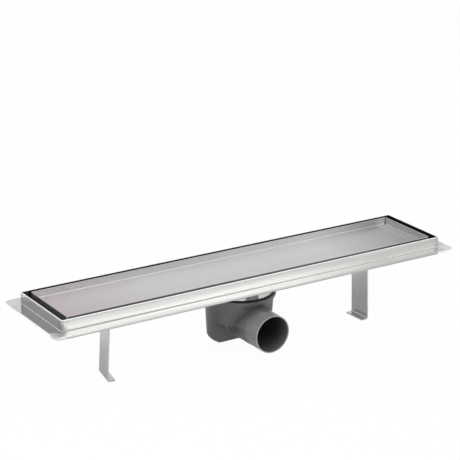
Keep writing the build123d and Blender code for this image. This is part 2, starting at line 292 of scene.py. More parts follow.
@dataclass(frozen=True)
class SheetSteel(Finish):
    """Stainless sheet with ground grain, faint streaks and slight waviness.

    Attributes:
        run: Which way the grain runs.
        grain: How much the grain varies the roughness.
        relief: Depth of the grain.
        wave: Depth of the waviness.
        streak: How much the streaks darken the colour.
        lift: How much they brighten it, as a part of that.
        haze: How much clouds vary the roughness, as a part of the grain.
        shares: Parts of fine grain, broad streaks and clouds in the streaks.
        cloud_cells: Clouds per metre along X, Y and Z.
        wave_cells: Waves per metre along X, Y and Z.
    """

    run: GrainRun = GrainRun.LENGTHWISE
    grain: float = 0.1
    relief: float = 0.000004
    wave: float = 0.00004
    streak: float = 0.1
    lift: float = 0.9
    haze: float = 0.5
    shares: Triple = (0.35, 0.5, 0.15)
    cloud_cells: Cells = (9.0, 9.0, 9.0)
    wave_cells: Cells = (7.0, 16.0, 22.0)

    def surface(self, tree: NodeTree) -> Signal:
        """Build the steel's shader.

        Args:
            tree: The material's tree.

        Returns:
            The shader.
        """
        fine = tree.patches(self.run.value)
        broad = tree.patches(self.run.broad())
        cloud = tree.patches(self.cloud_cells)
        swell = tree.stretched_noise(self.wave_cells, detail=1.0)
        tone = self.shares[0] * fine + self.shares[1] * broad + self.shares[2] * cloud
        dark = scaled(self.colour, 1.0 - self.streak)
        light = scaled(self.colour, 1.0 + self.lift * self.streak)
        rough = self.roughness + self.grain * (fine - MIDDLE) + self.haze * self.grain * (cloud - MIDDLE)
        colour, rough = self.work_and_painted_light(tree, tree.mixed(tone, dark, light), rough)
        height = self.relief / self.wave * fine + swell
        normal = tree.bump(height, strength=1.0, distance=self.wave)
        return tree.coat(colour, rough, normal, {"Metallic": 1.0})

    def work_and_painted_light(self, tree: NodeTree, colour: Signal, rough: Signal) -> tuple[Signal, Signal]:
        """Change colour and roughness where the sheet was ground or marked, and paint light and shade on it;
        plain sheet stays as it is.
        """
        return colour, rough


@dataclass(frozen=True)
class PaintedStretch:
    """A stretch of the trough's walls with painted light on it, a painted reflection where lighter and
    painted shade where darker, with soft edges.

    Attributes:
        share: How much of the change shows.
        along: X between which it comes up.
        top: Depths between which it comes up.
        bottom: Depths between which it fades out again, if it does.
    """

    share: float
    along: Range
    top: Range
    bottom: Optional[Range] = None

    def mask(self, tree: NodeTree, along: Signal, down: Signal) -> Signal:
        """The share within the stretch, from X and depth over the surface, and 0 elsewhere."""
        upright = tree.band(down, self.top, self.bottom) if self.bottom else tree.contrast(down, *self.top)
        return self.share * upright * tree.contrast(along, *self.along)


@dataclass(frozen=True)
class TroughSteel(SheetSteel):
    """Trough sheet: painted shade inside, painted reflections and a painted shade stretch on the outer walls,
    a painted highlight along the rim, marked at the corner seams.

    Attributes:
        inside: Half length and half width of the inside, which has painted shade.
        depth: Depth down to which that painted shade reaches.
        slot_shade: Brightness of the painted shade inside against the plain sheet.
        rim: Height of the painted highlight along the rim.
        painted_highlight: Brightness of the painted highlight on the rim and of the painted reflections.
        seam: How far from a corner its marks begin and are full.
        mark_cells: Marks per metre along X, Y and Z.
        mark_spread: Noise values at which a mark begins and is full.
        marked: Share of the marks, and their brightness.
        matt: Roughness that the inside and the marks have more.
        painted_reflections: Painted reflections: bright stretches, one below the rim that fades towards +X,
            and two above the weld there.
        shaded: Painted shade: a darker stretch below the rim at +X.
    """

    inside: tuple[float, float] = (0.2836, 0.0536)
    depth: float = 0.0195
    slot_shade: float = 0.18
    rim: float = 0.0005
    painted_highlight: float = 1.55
    seam: Range = (0.01, 0.004)
    mark_cells: Cells = (330.0, 330.0, 110.0)
    mark_spread: Range = (0.38, 0.58)
    marked: tuple[float, float] = (0.6, 0.3)
    matt: float = 0.25
    painted_reflections: tuple[PaintedStretch, ...] = (
        PaintedStretch(0.42, (0.2, 0.03), (0.0027, 0.0058), (0.0059, 0.0079)),
        PaintedStretch(0.26, (0.165, 0.215), (0.006, 0.009)),
        PaintedStretch(0.16, (0.09, 0.14), (0.0106, 0.0114), (0.0132, 0.0136)),
    )
    shaded: PaintedStretch = PaintedStretch(0.08, (0.19, 0.25), (0.0085, 0.005))

    def work_and_painted_light(self, tree: NodeTree, colour: Signal, rough: Signal) -> tuple[Signal, Signal]:
        """Paint reflections and shade on the outer walls, paint shade inside, mark the seams and paint a
        highlight on the rim.

        Args:
            tree: The material's tree.
            colour: Plain colour.
            rough: Plain roughness.

        Returns:
            Colour and roughness after the work and the painted light and shade.
        """
        along = tree.axis("X")
        away_x, away_y = abs(along), abs(tree.axis("Y"))
        down = abs(tree.axis("Z"))
        wall = away_x < self.inside[0]
        # Where shade is painted inside the trough, which is also rougher there.
        painted_shade = wall * (away_y < self.inside[1]) * (down < self.depth)
        near_x, near_y = (tree.contrast(away, half - self.seam[0], half - self.seam[1])
                          for away, half in zip((away_x, away_y), TROUGH_HALF))
        mark = near_x * near_y * tree.patches(self.mark_cells, self.mark_spread)
        # Painted reflections: bright stretches on the outer walls.
        bright = sum(stretch.mask(tree, along, down) for stretch in self.painted_reflections)
        colour = tree.mixed(wall * bright, colour, scaled(self.colour, self.painted_highlight))
        # Painted shade: a darker stretch below the rim at +X.
        colour = tree.mixed(wall * self.shaded.mask(tree, along, down), colour, BLACK)
        colour = tree.mixed(self.marked[0] * mark, colour, scaled(self.colour, self.marked[1]))
        # Lay the painted shade inside.
        colour = tree.mixed(painted_shade, colour, scaled(self.colour, self.slot_shade))
        # Painted highlight along the rim.
        colour = tree.mixed(down < self.rim, colour, scaled(self.colour, self.painted_highlight))
        return colour, rough + self.matt * (painted_shade | mark)


@dataclass(frozen=True)
class FlangeSteel(SheetSteel):
    """Collar sheet: painted shade towards +X and along its lower edge, corners ground matt at their joints,
    painted highlights at the ends of its edge.

    Attributes:
        slant: How far the joint leans back along Y for each metre along X.
        soft: Widths over which the ground corner begins along X and at the joint.
        ground: Brightness of the ground corners against the plain sheet.
        matt: Roughness that they have more.
        drift: How much painted shade darkens the sheet at the +X end.
        drift_run: X between which it grows darker.
        highlight_ends: X below and above which the turned-down edge has a painted highlight.
        painted_highlight: Colour of that painted highlight.
        corner: Y before which the edge at the -X end is left as it is.
        flat: Depth down to which the flat sheet is seen.
        shade_depth: Depth from which the turned-down edge has painted shade.
        painted_edge: How much darker that painted shade makes the edge.
    """

    slant: float = 0.44
    soft: tuple[float, float] = (0.001, 0.003)
    ground: float = 1.1
    matt: float = 0.36
    drift: float = 0.2
    drift_run: Range = (0.06, 0.2)
    highlight_ends: tuple[float, float] = (-0.2985, 0.272)
    painted_highlight: Colour = (0.97, 0.97, 0.97)
    corner: float = -0.056
    flat: float = 0.0145
    shade_depth: float = 0.0165
    painted_edge: float = 0.5

    def work_and_painted_light(self, tree: NodeTree, colour: Signal, rough: Signal) -> tuple[Signal, Signal]:
        """Paint shade towards +X and along the lower edge, grind the corners and paint highlights at the ends
        of the edge.

        Args:
            tree: The material's tree.
            colour: Plain colour.
            rough: Plain roughness.

        Returns:
            Colour and roughness after the grinding and the painted light and shade.
        """
        along, across, height = (tree.axis(name) for name in "XYZ")
        past_end = abs(along) - TROUGH_HALF[0]
        joint = abs(across) - TROUGH_HALF[1] + self.slant * past_end
        ground = tree.contrast(past_end, 0.0, self.soft[0]) * tree.contrast(joint, 0.0, self.soft[1])
        # Painted highlight on the turned-down edge at both ends.
        left = (along < self.highlight_ends[0]) * (1.0 - (across < self.corner))
        right = 1.0 - (along < self.highlight_ends[1])
        # Painted shade towards +X, and along the lower edge away from there.
        end_shade = tree.contrast(along, *self.drift_run)
        painted_edge = (height < -self.shade_depth) * (1.0 - end_shade)
        # Lay the painted shade.
        colour = tree.mixed(self.drift * end_shade | self.painted_edge * painted_edge, colour, BLACK)
        colour = tree.mixed(ground, colour, scaled(self.colour, self.ground))
        colour = tree.mixed((height < -self.flat) * (left | right), colour, opaque(self.painted_highlight))
        return colour, rough + self.matt * ground


@dataclass(frozen=True)
class TraySteel(SheetSteel):
    """Tray sheet: painted shade on its walls and near its +X end, its front darker, its -X end a little
    warmer.

    Attributes:
        walls: Depth down to which the walls are seen.
        painted_shade: How much painted shade darkens all walls against the floor.
        shade: How much darker still the walls are at the -X end.
        shade_run: X between which that shade fades out.
        front: How much darker the floor is at the -Y side.
        front_run: Y between which that dark fades out.
        drift: How much painted shade darkens the sheet near the +X end.
        end: X between which that painted shade comes up, and fades out again.
        warm: Colour that the floor has at the -X end.
        warm_run: X between which that colour fades out.
    """

    walls: float = 0.0092
    painted_shade: float = 0.074
    shade: float = 0.2
    shade_run: Range = (-0.1, 0.22)
    front: float = 0.12
    front_run: Range = (-0.015, 0.045)
    drift: float = 0.31
    end: tuple[Range, Range] = ((0.137, 0.245), (0.255, 0.268))
    warm: Colour = (0.59, 0.535, 0.535)
    warm_run: Range = (-0.27, -0.12)

    def work_and_painted_light(self, tree: NodeTree, colour: Signal, rough: Signal) -> tuple[Signal, Signal]:
        """Paint shade on the walls and near one end, darken the front and warm the other end.

        Args:
            tree: The material's tree.
            colour: Plain colour.
            rough: Plain roughness.

        Returns:
            Colour and roughness with the painted shade and the other tones.
        """
        along = tree.axis("X")
        wall = abs(tree.axis("Z")) < self.walls
        floor = 1.0 - wall
        # Painted shade on the walls, deeper towards the -X end.
        shade = wall * (self.painted_shade + self.shade * (1.0 - tree.contrast(along, *self.shade_run)))
        front = self.front * floor * (1.0 - tree.contrast(tree.axis("Y"), *self.front_run))
        # Painted shade near the +X end.
        end = self.drift * tree.band(along, *self.end)
        near = 1.0 - tree.contrast(along, *self.warm_run)
        colour = tree.mixed(near * floor, colour, opaque(self.warm))
        return tree.mixed((shade | end) + front, colour, BLACK), rough


@dataclass(frozen=True)
class LegSteel(SheetSteel):
    """Leg strip with painted shade: the one at -X evenly darker, the one at +X darker towards its foot.

    Attributes:
        painted_shade: How much painted shade darkens the leg at -X.
        foot: How much painted shade darkens the other leg at its foot.
        rise: Heights between which the other leg grows brighter.
    """

    painted_shade: float = 0.18
    foot: float = 0.16
    rise: Range = (-0.1, -0.03)

    def work_and_painted_light(self, tree: NodeTree, colour: Signal, rough: Signal) -> tuple[Signal, Signal]:
        """Paint shade on one leg and on the foot of the other.

        Args:
            tree: The material's tree.
            colour: Plain colour.
            rough: Plain roughness.

        Returns:
            Colour and roughness with the painted shade.
        """
        # Painted shade: the leg at -X evenly, the other towards its foot.
        left = tree.axis("X") < 0.0
        low = (1.0 - left) * (1.0 - tree.contrast(tree.axis("Z"), *self.rise))
        return tree.mixed(self.painted_shade * left + self.foot * low, colour, BLACK), rough


@dataclass(frozen=True)
class WeldMetal(Finish):
    """Fused bead: duller than the sheet, with faint darker patches, painted shade at -X turning to painted
    reflection towards +X, and a painted highlight on the outside of the -X end.

    Attributes:
        tint: Colour of the darker patches.
        tint_cells: Patches per metre.
        tint_spread: Noise values at which the tint begins and is full.
        painted_reflections: Brightness of the painted shade at the -X end and of the painted reflection at
            the +X end.
        painted_run: X between which it changes.
        end: X before which the bead lies on the outside of the -X end, where it has a painted highlight.
        painted_highlight: Brightness of that painted highlight.
        fleck_cells: Flecks per metre.
        fleck: How much the flecks vary the roughness.
        relief: Height of the flecks.
    """

    tint: Colour = (0.48, 0.47, 0.46)
    tint_cells: Cells = (60.0, 60.0, 60.0)
    tint_spread: Range = (0.35, 0.7)
    painted_reflections: tuple[float, float] = (0.88, 1.32)
    painted_run: Range = (-0.2, 0.2)
    end: float = -0.2851
    painted_highlight: float = 1.17
    fleck_cells: Cells = (1500.0, 1500.0, 1500.0)
    fleck: float = 0.15
    relief: float = 0.00003

    def surface(self, tree: NodeTree) -> Signal:
        """Build the weld's shader.

        Args:
            tree: The material's tree.

        Returns:
            The shader.
        """
        along = tree.axis("X")
        patch = tree.patches(self.tint_cells, self.tint_spread)
        fleck = tree.stretched_noise(self.fleck_cells)
        # Painted shade at -X and painted reflection at +X.
        painted_shade, bright = (tree.mixed(patch, scaled(self.colour, level), scaled(self.tint, level))
                        for level in self.painted_reflections)
        colour = tree.mixed(tree.contrast(along, *self.painted_run), painted_shade, bright)
        # Painted highlight on the outside of the -X end.
        colour = tree.mixed(along < self.end, colour, scaled(self.colour, self.painted_highlight))
        rough = self.roughness + self.fleck * (fleck - MIDDLE)
        normal = tree.bump(fleck, strength=0.6, distance=self.relief)
        return tree.coat(colour, rough, normal, {"Metallic": 0.6})


@dataclass(frozen=True)
class ZincPlate(Finish):
    """Bright zinc on turned fasteners.

    Attributes:
        spangle_cells: Spangles per metre.
        tones: Brightness of the darkest and the lightest spangles.
        sheen: How much the spangles vary the roughness.
        relief: Height of the spangles.
    """

    spangle_cells: Cells = (420.0, 420.0, 420.0)
    tones: tuple[float, float] = (0.85, 1.1)
    sheen: float = 0.12
    relief: float = 0.00002

    def surface(self, tree: NodeTree) -> Signal:
        """Build the plating's shader.

        Args:
            tree: The material's tree.

        Returns:
            The shader.
        """
        spangle = tree.patches(self.spangle_cells)
        colour = tree.mixed(spangle, *(scaled(self.colour, tone) for tone in self.tones))
        rough = self.roughness + self.sheen * (spangle - MIDDLE)
        normal = tree.bump(spangle, strength=0.3, distance=self.relief)
        return tree.coat(colour, rough, normal, {"Metallic": 1.0})


@dataclass(frozen=True)
class MouldedPlastic(Finish):
    """Satin injection-moulded plastic: eroded body, smoother spigot lightened by painted light with a painted
    highlight on its end face, painted shade on its root and in the bore.

    Attributes:
        flow_cells: Flow marks per metre along X, Y and Z.
        tones: Brightness of the darkest and the lightest flow marks.
        pebble_cells: Cells of the mould's texture per metre.
        texture: Depth of the mould's texture.
        sheen: How much flow marks, texture and the smooth spigot vary the roughness.
        spigot: Brightness that painted light gives the smoother spigot.
        spigot_run: Y between which the eroded body turns into it.
        root: How much painted shade darkens the spigot's root.
        root_run: Y between which the root begins.
        root_reach: Radii about the outlet's axis between which the root fades out.
        painted_edge: Y before which the spigot's end face has a painted highlight.
        end_highlight: Brightness of that painted highlight.
        bore: How much painted shade darkens the bore, and how much more in its depth.
        bore_radius: Radius just outside the outlet's bore.
        bore_height: Height of the outlet's axis.
        bore_in: Y of the outlet's mouth, and Y from where the bore is darkest.
        bore_out: Y between which that depth fades out again.
    """

    flow_cells: Cells = (22.0, 22.0, 34.0)
    tones: tuple[float, float] = (0.9, 1.1)
    pebble_cells: Cells = (1700.0, 1700.0, 1700.0)
    texture: float = 0.00003
    sheen: Triple = (0.08, 0.1, -0.06)
    spigot: float = 1.42
    spigot_run: Range = (-0.036, -0.058)
    root: float = 0.4
    root_run: Range = (-0.02, -0.03)
    root_reach: Range = (0.036, 0.029)
    painted_edge: float = -0.0782
    end_highlight: float = 2.4
    bore: tuple[float, float] = (0.15, 0.4)
    bore_radius: float = 0.0242
    bore_height: float = -0.0712
    bore_in: Range = (-0.0785, -0.056)
    bore_out: Range = (-0.042, -0.02)

    def surface(self, tree: NodeTree) -> Signal:
        """Build the plastic's shader.

        Args:
            tree: The material's tree.

        Returns:
            The shader.
        """
        flow = tree.patches(self.flow_cells)
        pebble = tree.stretched_noise(self.pebble_cells)
        along = tree.axis("Y")
        radius = self.radius(tree)
        # The spigot is smoother, and painted light makes it lighter.
        smooth = tree.contrast(along, *self.spigot_run)
        # Painted shade where the spigot meets the body.
        round_root = tree.contrast(along, *self.root_run) * tree.contrast(radius, *self.root_reach)
        root = self.root * round_root * (1.0 - smooth)
        # Painted shade in the bore, deeper inside.
        inside = radius < self.bore_radius
        bore = inside * (self.bore[0] + self.bore[1] * tree.band(along, self.bore_in, self.bore_out))
        colour = tree.mixed(flow, *(scaled(self.colour, tone) for tone in self.tones))
        colour = tree.mixed(smooth * (1.0 - inside), colour, scaled(self.colour, self.spigot))
        colour = tree.mixed(root | bore, colour, BLACK)
        # Painted highlight on the spigot's end face.
        colour = tree.mixed(along < self.painted_edge, colour, scaled(self.colour, self.end_highlight))
        rough = self.roughness + self.sheen[0] * (flow - MIDDLE) + self.sheen[1] * (pebble - MIDDLE)
        rough = rough + self.sheen[2] * smooth
        normal = tree.bump(pebble, strength=0.5, distance=self.texture)
        return tree.coat(colour, rough, normal, {"Specular IOR Level": 0.5})

    def radius(self, tree: NodeTree) -> Signal:
        """Measure the distance from the outlet's axis.

        Args:
            tree: The material's tree.

        Returns:
            The distance.
        """
        across = tree.node("ShaderNodeVectorMath", {"operation": "MULTIPLY_ADD"}, {
            0: tree.place(), 1: (1.0, 0.0, 1.0), 2: (0.0, 0.0, -self.bore_height)})
        return tree.node("ShaderNodeVectorMath", {"operation": "LENGTH"}, {0: across}, "Value")


@dataclass(frozen=True)
class BlackRubber(Finish):
    """Dull sealing rubber with a trace of talc.

    Attributes:
        talc_cells: Specks of talc per metre.
        talc_spread: Noise values at which the talc begins and is full.
        talc_tone: Brightness of the talc against the rubber.
        talc_matt: Roughness that the talc has more.
        relief: Height of the talc.
    """

    talc_cells: Cells = (160.0, 160.0, 160.0)
    talc_spread: Range = (0.45, 0.8)
    talc_tone: float = 2.2
    talc_matt: float = 0.15
    relief: float = 0.00003

    def surface(self, tree: NodeTree) -> Signal:
        """Build the rubber's shader.

        Args:
            tree: The material's tree.

        Returns:
            The shader.
        """
        talc = tree.patches(self.talc_cells, self.talc_spread, detail=4.0)
        colour = tree.mixed(talc, opaque(self.colour), scaled(self.colour, self.talc_tone))
        rough = self.roughness + self.talc_matt * talc
        normal = tree.bump(talc, strength=0.3, distance=self.relief)
        return tree.coat(colour, rough, normal, {"Specular IOR Level": 0.35})


STEEL: Colour = (0.62, 0.615, 0.605)
END_PLATE: Colour = (0.6, 0.595, 0.59)
STRIP: Colour = (0.64, 0.634, 0.623)
TROUGH_STEEL = TroughSteel("trough_steel", "polished_steel", STEEL, 0.15, streak=0.2)
END_STEEL = TroughSteel("end_plate_steel", "polished_steel", END_PLATE, 0.1, GrainRun.CROSSWISE)
FLANGE_STEEL = FlangeSteel("flange_steel", "polished_steel", STEEL, 0.06, grain=0.04, wave=0.00002)
LEG_STEEL = LegSteel("leg_steel", "polished_steel", STRIP, 0.13, GrainRun.UPRIGHT, streak=0.16)
DISH_STEEL = SheetSteel("drawn_steel", "polished_steel", STEEL, 0.07, grain=0.03)
TRAY_STEEL = TraySteel("tray_steel", "satin_steel", (0.675, 0.665, 0.67), 0.5, streak=0.06)
STRAINER_STEEL = SheetSteel("strainer_steel", "satin_steel", (0.6, 0.6, 0.6), 0.3, GrainRun.CROSSWISE)
WELD = WeldMetal("weld_metal", "polished_steel", (0.53, 0.525, 0.52), 0.7)
ZINC = ZincPlate("zinc_plate", "zinc_steel", (0.6, 0.61, 0.63), 0.28)
PLASTIC = MouldedPlastic("grey_polypropylene", "grey_plastic", (0.115, 0.115, 0.118), 0.33)
RUBBER = BlackRubber("seal_rubber", "black_rubber", (0.012, 0.012, 0.012), 0.5)


def attach(piece: bpy.types.Object, finish: Finish) -> bpy.types.Object:
    """Give a new piece its finish and hang it on the drain.

    Args:
        piece: The piece, in place.
        finish: Its finish.

    Returns:
        The same piece.
    """
    piece.data.materials.clear()
    piece.data.materials.append(finish.material())
    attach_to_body(piece, BODY)
    LOG.info("piece %s: %s", piece.name, finish.name)
    return piece


def dress(node: str, finish: Finish) -> None:
    """Give a solid that stays as it is its finish.

    Args:
        node: The solid's node.
        finish: Its finish.
    """
    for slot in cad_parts[node].material_slots:
        slot.material = finish.material()
    LOG.info("solid %s: %s", node, finish.name)


def put(name: str, data: bpy.types.ID) -> bpy.types.Object:
    """Put a new object into the scene.

    Args:
        name: The object's name.
        data: Its mesh, lamp or camera.

    Returns:
        The new object.
    """
    made = bpy.data.objects.new(name, data)
    bpy.context.scene.collection.objects.link(made)
    return made


def new_piece(name: str, work: bmesh.types.BMesh) -> bpy.types.Object:
    """Put built geometry into the scene, smooth-shaded, and free it.

    Args:
        name: The piece's name.
        work: Its geometry.

    Returns:
        The new object.
    """
    mesh = bpy.data.meshes.new(name)
    work.to_mesh(mesh)
    work.free()
    mesh.polygons.foreach_set("use_smooth", [True] * len(mesh.polygons))
    return put(name, mesh)


def skin(work: bmesh.types.BMesh, rings: Sequence[Sequence[bmesh.types.BMVert]]) -> None:
    """Join rings of points with faces, each to the next.

    Args:
        work: The mesh.
        rings: The rings, with as many points each.
    """
    for ring, following in zip(rings, rings[1:]):
        for near in range(len(ring)):
            far = (near + 1) % len(ring)
            work.faces.new((ring[near], ring[far], following[far], following[near]))


@dataclass(frozen=True)
class EdgeWork:
    """How a piece's edges are broken: rolled sheet, deburred strip or moulded plastic.

    Attributes:
        width: Width of the rounding.
        segments: Facets over the rounding.
        weld_distance: Distance below which points are one.
        flat_angle: Angle below which faces are one flat face.
        sharp_angle: Angle from which an edge is rounded.
    """

    width: float
    segments: int = 2
    weld_distance: float = 1e-7
    flat_angle: float = math.radians(0.4)
    sharp_angle: float = math.radians(32.0)

    def rounded(self, node: str, finish: Finish) -> bpy.types.Object:
        """Stand a copy with rounded edges in for a solid.

        Args:
            node: The solid's node.
            finish: The copy's finish.

        Returns:
            The copy.
        """
        work = bmesh.new()
        work.from_mesh(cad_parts[node].data)
        bmesh.ops.remove_doubles(work, verts=work.verts, dist=self.weld_distance)
        bmesh.ops.dissolve_limit(work, angle_limit=self.flat_angle, verts=work.verts, edges=work.edges)
        piece = new_piece(f"{node}_rounded", work)
        bevel = piece.modifiers.new("broken_edge", "BEVEL")
        bevel.width = self.width
        bevel.segments = self.segments
        bevel.limit_method = "ANGLE"
        bevel.angle_limit = self.sharp_angle
        bevel.harden_normals = True
        flats = piece.modifiers.new("flat_faces", "WEIGHTED_NORMAL")
        flats.keep_sharp = True
        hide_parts(node)
        return attach(piece, finish)


@dataclass(frozen=True)
class Bead:
    """Fillet weld with stacked ripples along a closed path.

    Attributes:
        size: Leg of the fillet.
        pitch: Length of a ripple.
        ripple: Height of a ripple as a share of the size.
        wander: How much the size drifts, as a share.
        facets: Facets over the bead.
        drifts: Drifts of the size per metre.
    """

    size: float
    pitch: float
    ripple: float = 0.16
    wander: float = 0.2
    facets: int = 5
    drifts: float = 90.0

    def girth(self, run: float, spot: Vector) -> float:
        """Size of the bead at one place.

        Args:
            run: Metres along the path.
            spot: The place.

        Returns:
            The fillet's leg there.
        """
        phase = (run / self.pitch) % 1.0
        drift = noise.noise(spot * self.drifts)
        return self.size * (1.0 + self.ripple * (phase - MIDDLE) + self.wander * drift)

    def laid(self, name: str, path: Sequence[WeldStep]) -> bpy.types.Object:
        """Lay the bead.

        Args:
            name: The piece's name.
            path: Each place in the corner, with the ways along both faces out of it.

        Returns:
            The bead.
        """
        work = bmesh.new()
        rings = []
        run = 0.0
        for index, (spot, out, up) in enumerate(path):
            run += (spot - path[index - 1][0]).length if index else 0.0
            girth = self.girth(run, spot)
            angles = [math.pi / 2 * step / self.facets for step in range(self.facets + 1)]
            points = [spot] + [spot + girth * (math.sin(a) * out + math.cos(a) * up) for a in angles]
            rings.append([work.verts.new(point) for point in points])
        skin(work, rings + rings[:1])
        bmesh.ops.recalc_face_normals(work, faces=work.faces)
        return attach(new_piece(name, work), WELD)


@dataclass
class Channel:
    """Trough, end plates, collar flange and outlet dish, with the welds that join them.

    Attributes:
        flange_depth: Depth of the collar's top below the rim.
        underside: Depth of the floor's underside in the flat band.
        flat_half: Half width of the underside's flat band.
        fall: Rise of the underside per metre beyond the flat band.
        dish_radius: Radius of the dish at its bottom.
        dish_depth: Depth of that bottom below the rim.
        draft: Widening of the dish per metre upwards.
        corner: Radius of the trough's upright corners.
        corner_facets: Facets of a weld round such a corner.
        step: Length of a weld's facets.
        rounds: Rounds in which the radius and depth of the dish's weld settle.
        edges: How the sheets' edges are broken.
        rolled_edge: How the collar's turned-down edge is rolled.
        collar_bead: Weld between the walls and the collar.
        dish_bead: Weld between the dish and the trough.
    """

    flange_depth: float = 14.0 * MM
    underside: float = 25.5 * MM
    flat_half: float = 23.1 * MM
    fall: float = 5.0 / 30.5
    dish_radius: float = 45.0 * MM
    dish_depth: float = 36.0 * MM
    draft: float = math.tan(math.radians(10.0))
    corner: float = 3.0 * MM
    corner_facets: int = 8
    step: float = 0.6 * MM
    rounds: int = 4
    edges: EdgeWork = EdgeWork(0.4 * MM)
    rolled_edge: EdgeWork = EdgeWork(0.8 * MM, 3)
    collar_bead: Bead = Bead(0.95 * MM, 1.8 * MM, 0.04, 0.04)
    dish_bead: Bead = Bead(1.5 * MM, 2.4 * MM)

    def build(self) -> None:
        """Make and dress all of it."""
        self.edges.rounded("channel_trough", TROUGH_STEEL)
        self.edges.rounded("end_plate_left", END_STEEL)
        self.edges.rounded("end_plate_right", END_STEEL)
        self.rolled_edge.rounded("collar_flange", FLANGE_STEEL)
        self.edges.rounded("outlet_dish", DISH_STEEL)
        self.collar_bead.laid("collar_weld", self.collar_path())
        self.dish_bead.laid("dish_weld", self.dish_path())

    def collar_path(self) -> list[WeldStep]:
        """Follow the corner between the walls and the top of the collar, all the way round.

        Returns:
            The weld's path.
        """
        reach = Vector((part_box("end_plate_right")[1].x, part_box("channel_trough")[1].y, 0.0))
        inset_x, inset_y = reach.x - self.corner, reach.y - self.corner
        up = Vector((0.0, 0.0, 1.0))
        path = []
        for quarter, (side_x, side_y) in enumerate(((1, -1), (1, 1), (-1, 1), (-1, -1))):
            middle = Vector((side_x * inset_x, side_y * inset_y, -self.flange_depth))
            for number in range(self.corner_facets + 1):
                turn = math.pi / 2 * (quarter - 1 + number / self.corner_facets)
                out = Vector((math.cos(turn), math.sin(turn), 0.0))
                path += self.run_up(path, (middle + self.corner * out, out, up))
        return path + self.run_up(path, path[0])[:-1]

    def run_up(self, path: Sequence[WeldStep], goal: WeldStep) -> list[WeldStep]:
        """Fill a straight run of a weld with short steps.

        Args:
            path: The weld so far.
            goal: The next place of it.

        Returns:
            The steps from the end of the path to the next place, which comes last.
        """
        if not path:
            return [goal]
        start = path[-1][0]
        spot, out, up = goal
        count = max(round((spot - start).length / self.step), 1)
        return [(start.lerp(spot, number / count), out, up) for number in range(1, count)] + [goal]

    def dish_path(self) -> list[WeldStep]:
        """Follow the corner between the dish and the falling underside of the trough.

        Returns:
            The weld's path.
        """
        count = round(2 * math.pi * self.dish_radius / self.step)
        path = []
        for number in range(count):
            turn = 2 * math.pi * number / count
            out = Vector((math.cos(turn), math.sin(turn), 0.0))
            radius, depth = self.dish_radius, self.underside
            for _ in range(self.rounds):
                depth = self.underside - self.fall * max(abs(radius * out.y) - self.flat_half, 0.0)
                radius = self.dish_radius + self.draft * (self.dish_depth - depth)
            spot = radius * out - Vector((0.0, 0.0, depth))
            path.append((spot, out, Vector((0.0, 0.0, -1.0)) - self.draft * out))
        return path


@dataclass
class TilePan:
    """Loose tile tray on its hat brackets, and the strainer below it.

    Attributes:
        edges: How the tray's edges are broken.
    """

    edges: EdgeWork = EdgeWork(0.16 * MM)

    def build(self) -> None:
        """Make and dress all of it."""
        self.edges.rounded("tile_tray", TRAY_STEEL)
        for side in ("left", "right"):
            for place in ("inner", "outer"):
                dress(f"tray_support_{side}_{place}", STRAINER_STEEL)
        dress("hair_strainer", STRAINER_STEEL)


@dataclass
class Siphon:
    """Moulded siphon with its seal, lock ring and trap insert.

    Attributes:
        edges: How the body's edges are rounded.
        seal_edges: How the gasket's edges are rounded.
    """

    edges: EdgeWork = EdgeWork(0.45 * MM, 3)
    seal_edges: EdgeWork = EdgeWork(0.35 * MM, 3)

    def build(self) -> None:
        """Make and dress all of it."""
        self.edges.rounded("siphon_body", PLASTIC)
        self.seal_edges.rounded("dish_gasket", RUBBER)
        dress("lock_ring", PLASTIC)
        dress("dip_tube", PLASTIC)
        dress("dip_tube_seal", RUBBER)


@dataclass(frozen=True)
class ThreadedStud:
    """Weld stud with a rolled thread.

    Attributes:
        radius: Outer radius of the thread.
        pitch: Pitch of the thread.
        depth: Depth of the thread.
        sides: Facets round the stud.
        lead: Length of the tapered lead at the free end.
        lead_slope: How much the lead narrows for each metre down.
        rows: Rows of facets to a turn of the thread.
    """

    radius: float = 3.0 * MM
    pitch: float = 1.0 * MM
    depth: float = 0.5 * MM
    sides: int = 28
    lead: float = 0.9 * MM
    lead_slope: float = 0.7
    rows: int = 4

    def add_to(self, work: bmesh.types.BMesh, foot: Vector, length: float) -> None:
        """Add one stud to a mesh.

        Args:
            work: The mesh.
            foot: Where the stud stands on the floor's underside.
            length: Its length downwards.
        """
        rows = round(self.rows * length / self.pitch)
        rings = []
        for row in range(rows + 1):
            drop = length * row / rows
            taper = max(drop - (length - self.lead), 0.0) * self.lead_slope
            ring = []
            for side in range(self.sides):
                turn = 2 * math.pi * side / self.sides
                phase = (drop / self.pitch + side / self.sides) % 1.0
                groove = self.depth * abs(2.0 * phase - 1.0)
                reach = min(self.radius - groove, self.radius - taper)
                spot = foot + Vector((reach * math.cos(turn), reach * math.sin(turn), -drop))
                ring.append(work.verts.new(spot))
            rings.append(ring)
        skin(work, rings)
        work.faces.new(rings[0])
        work.faces.new(rings[-1])


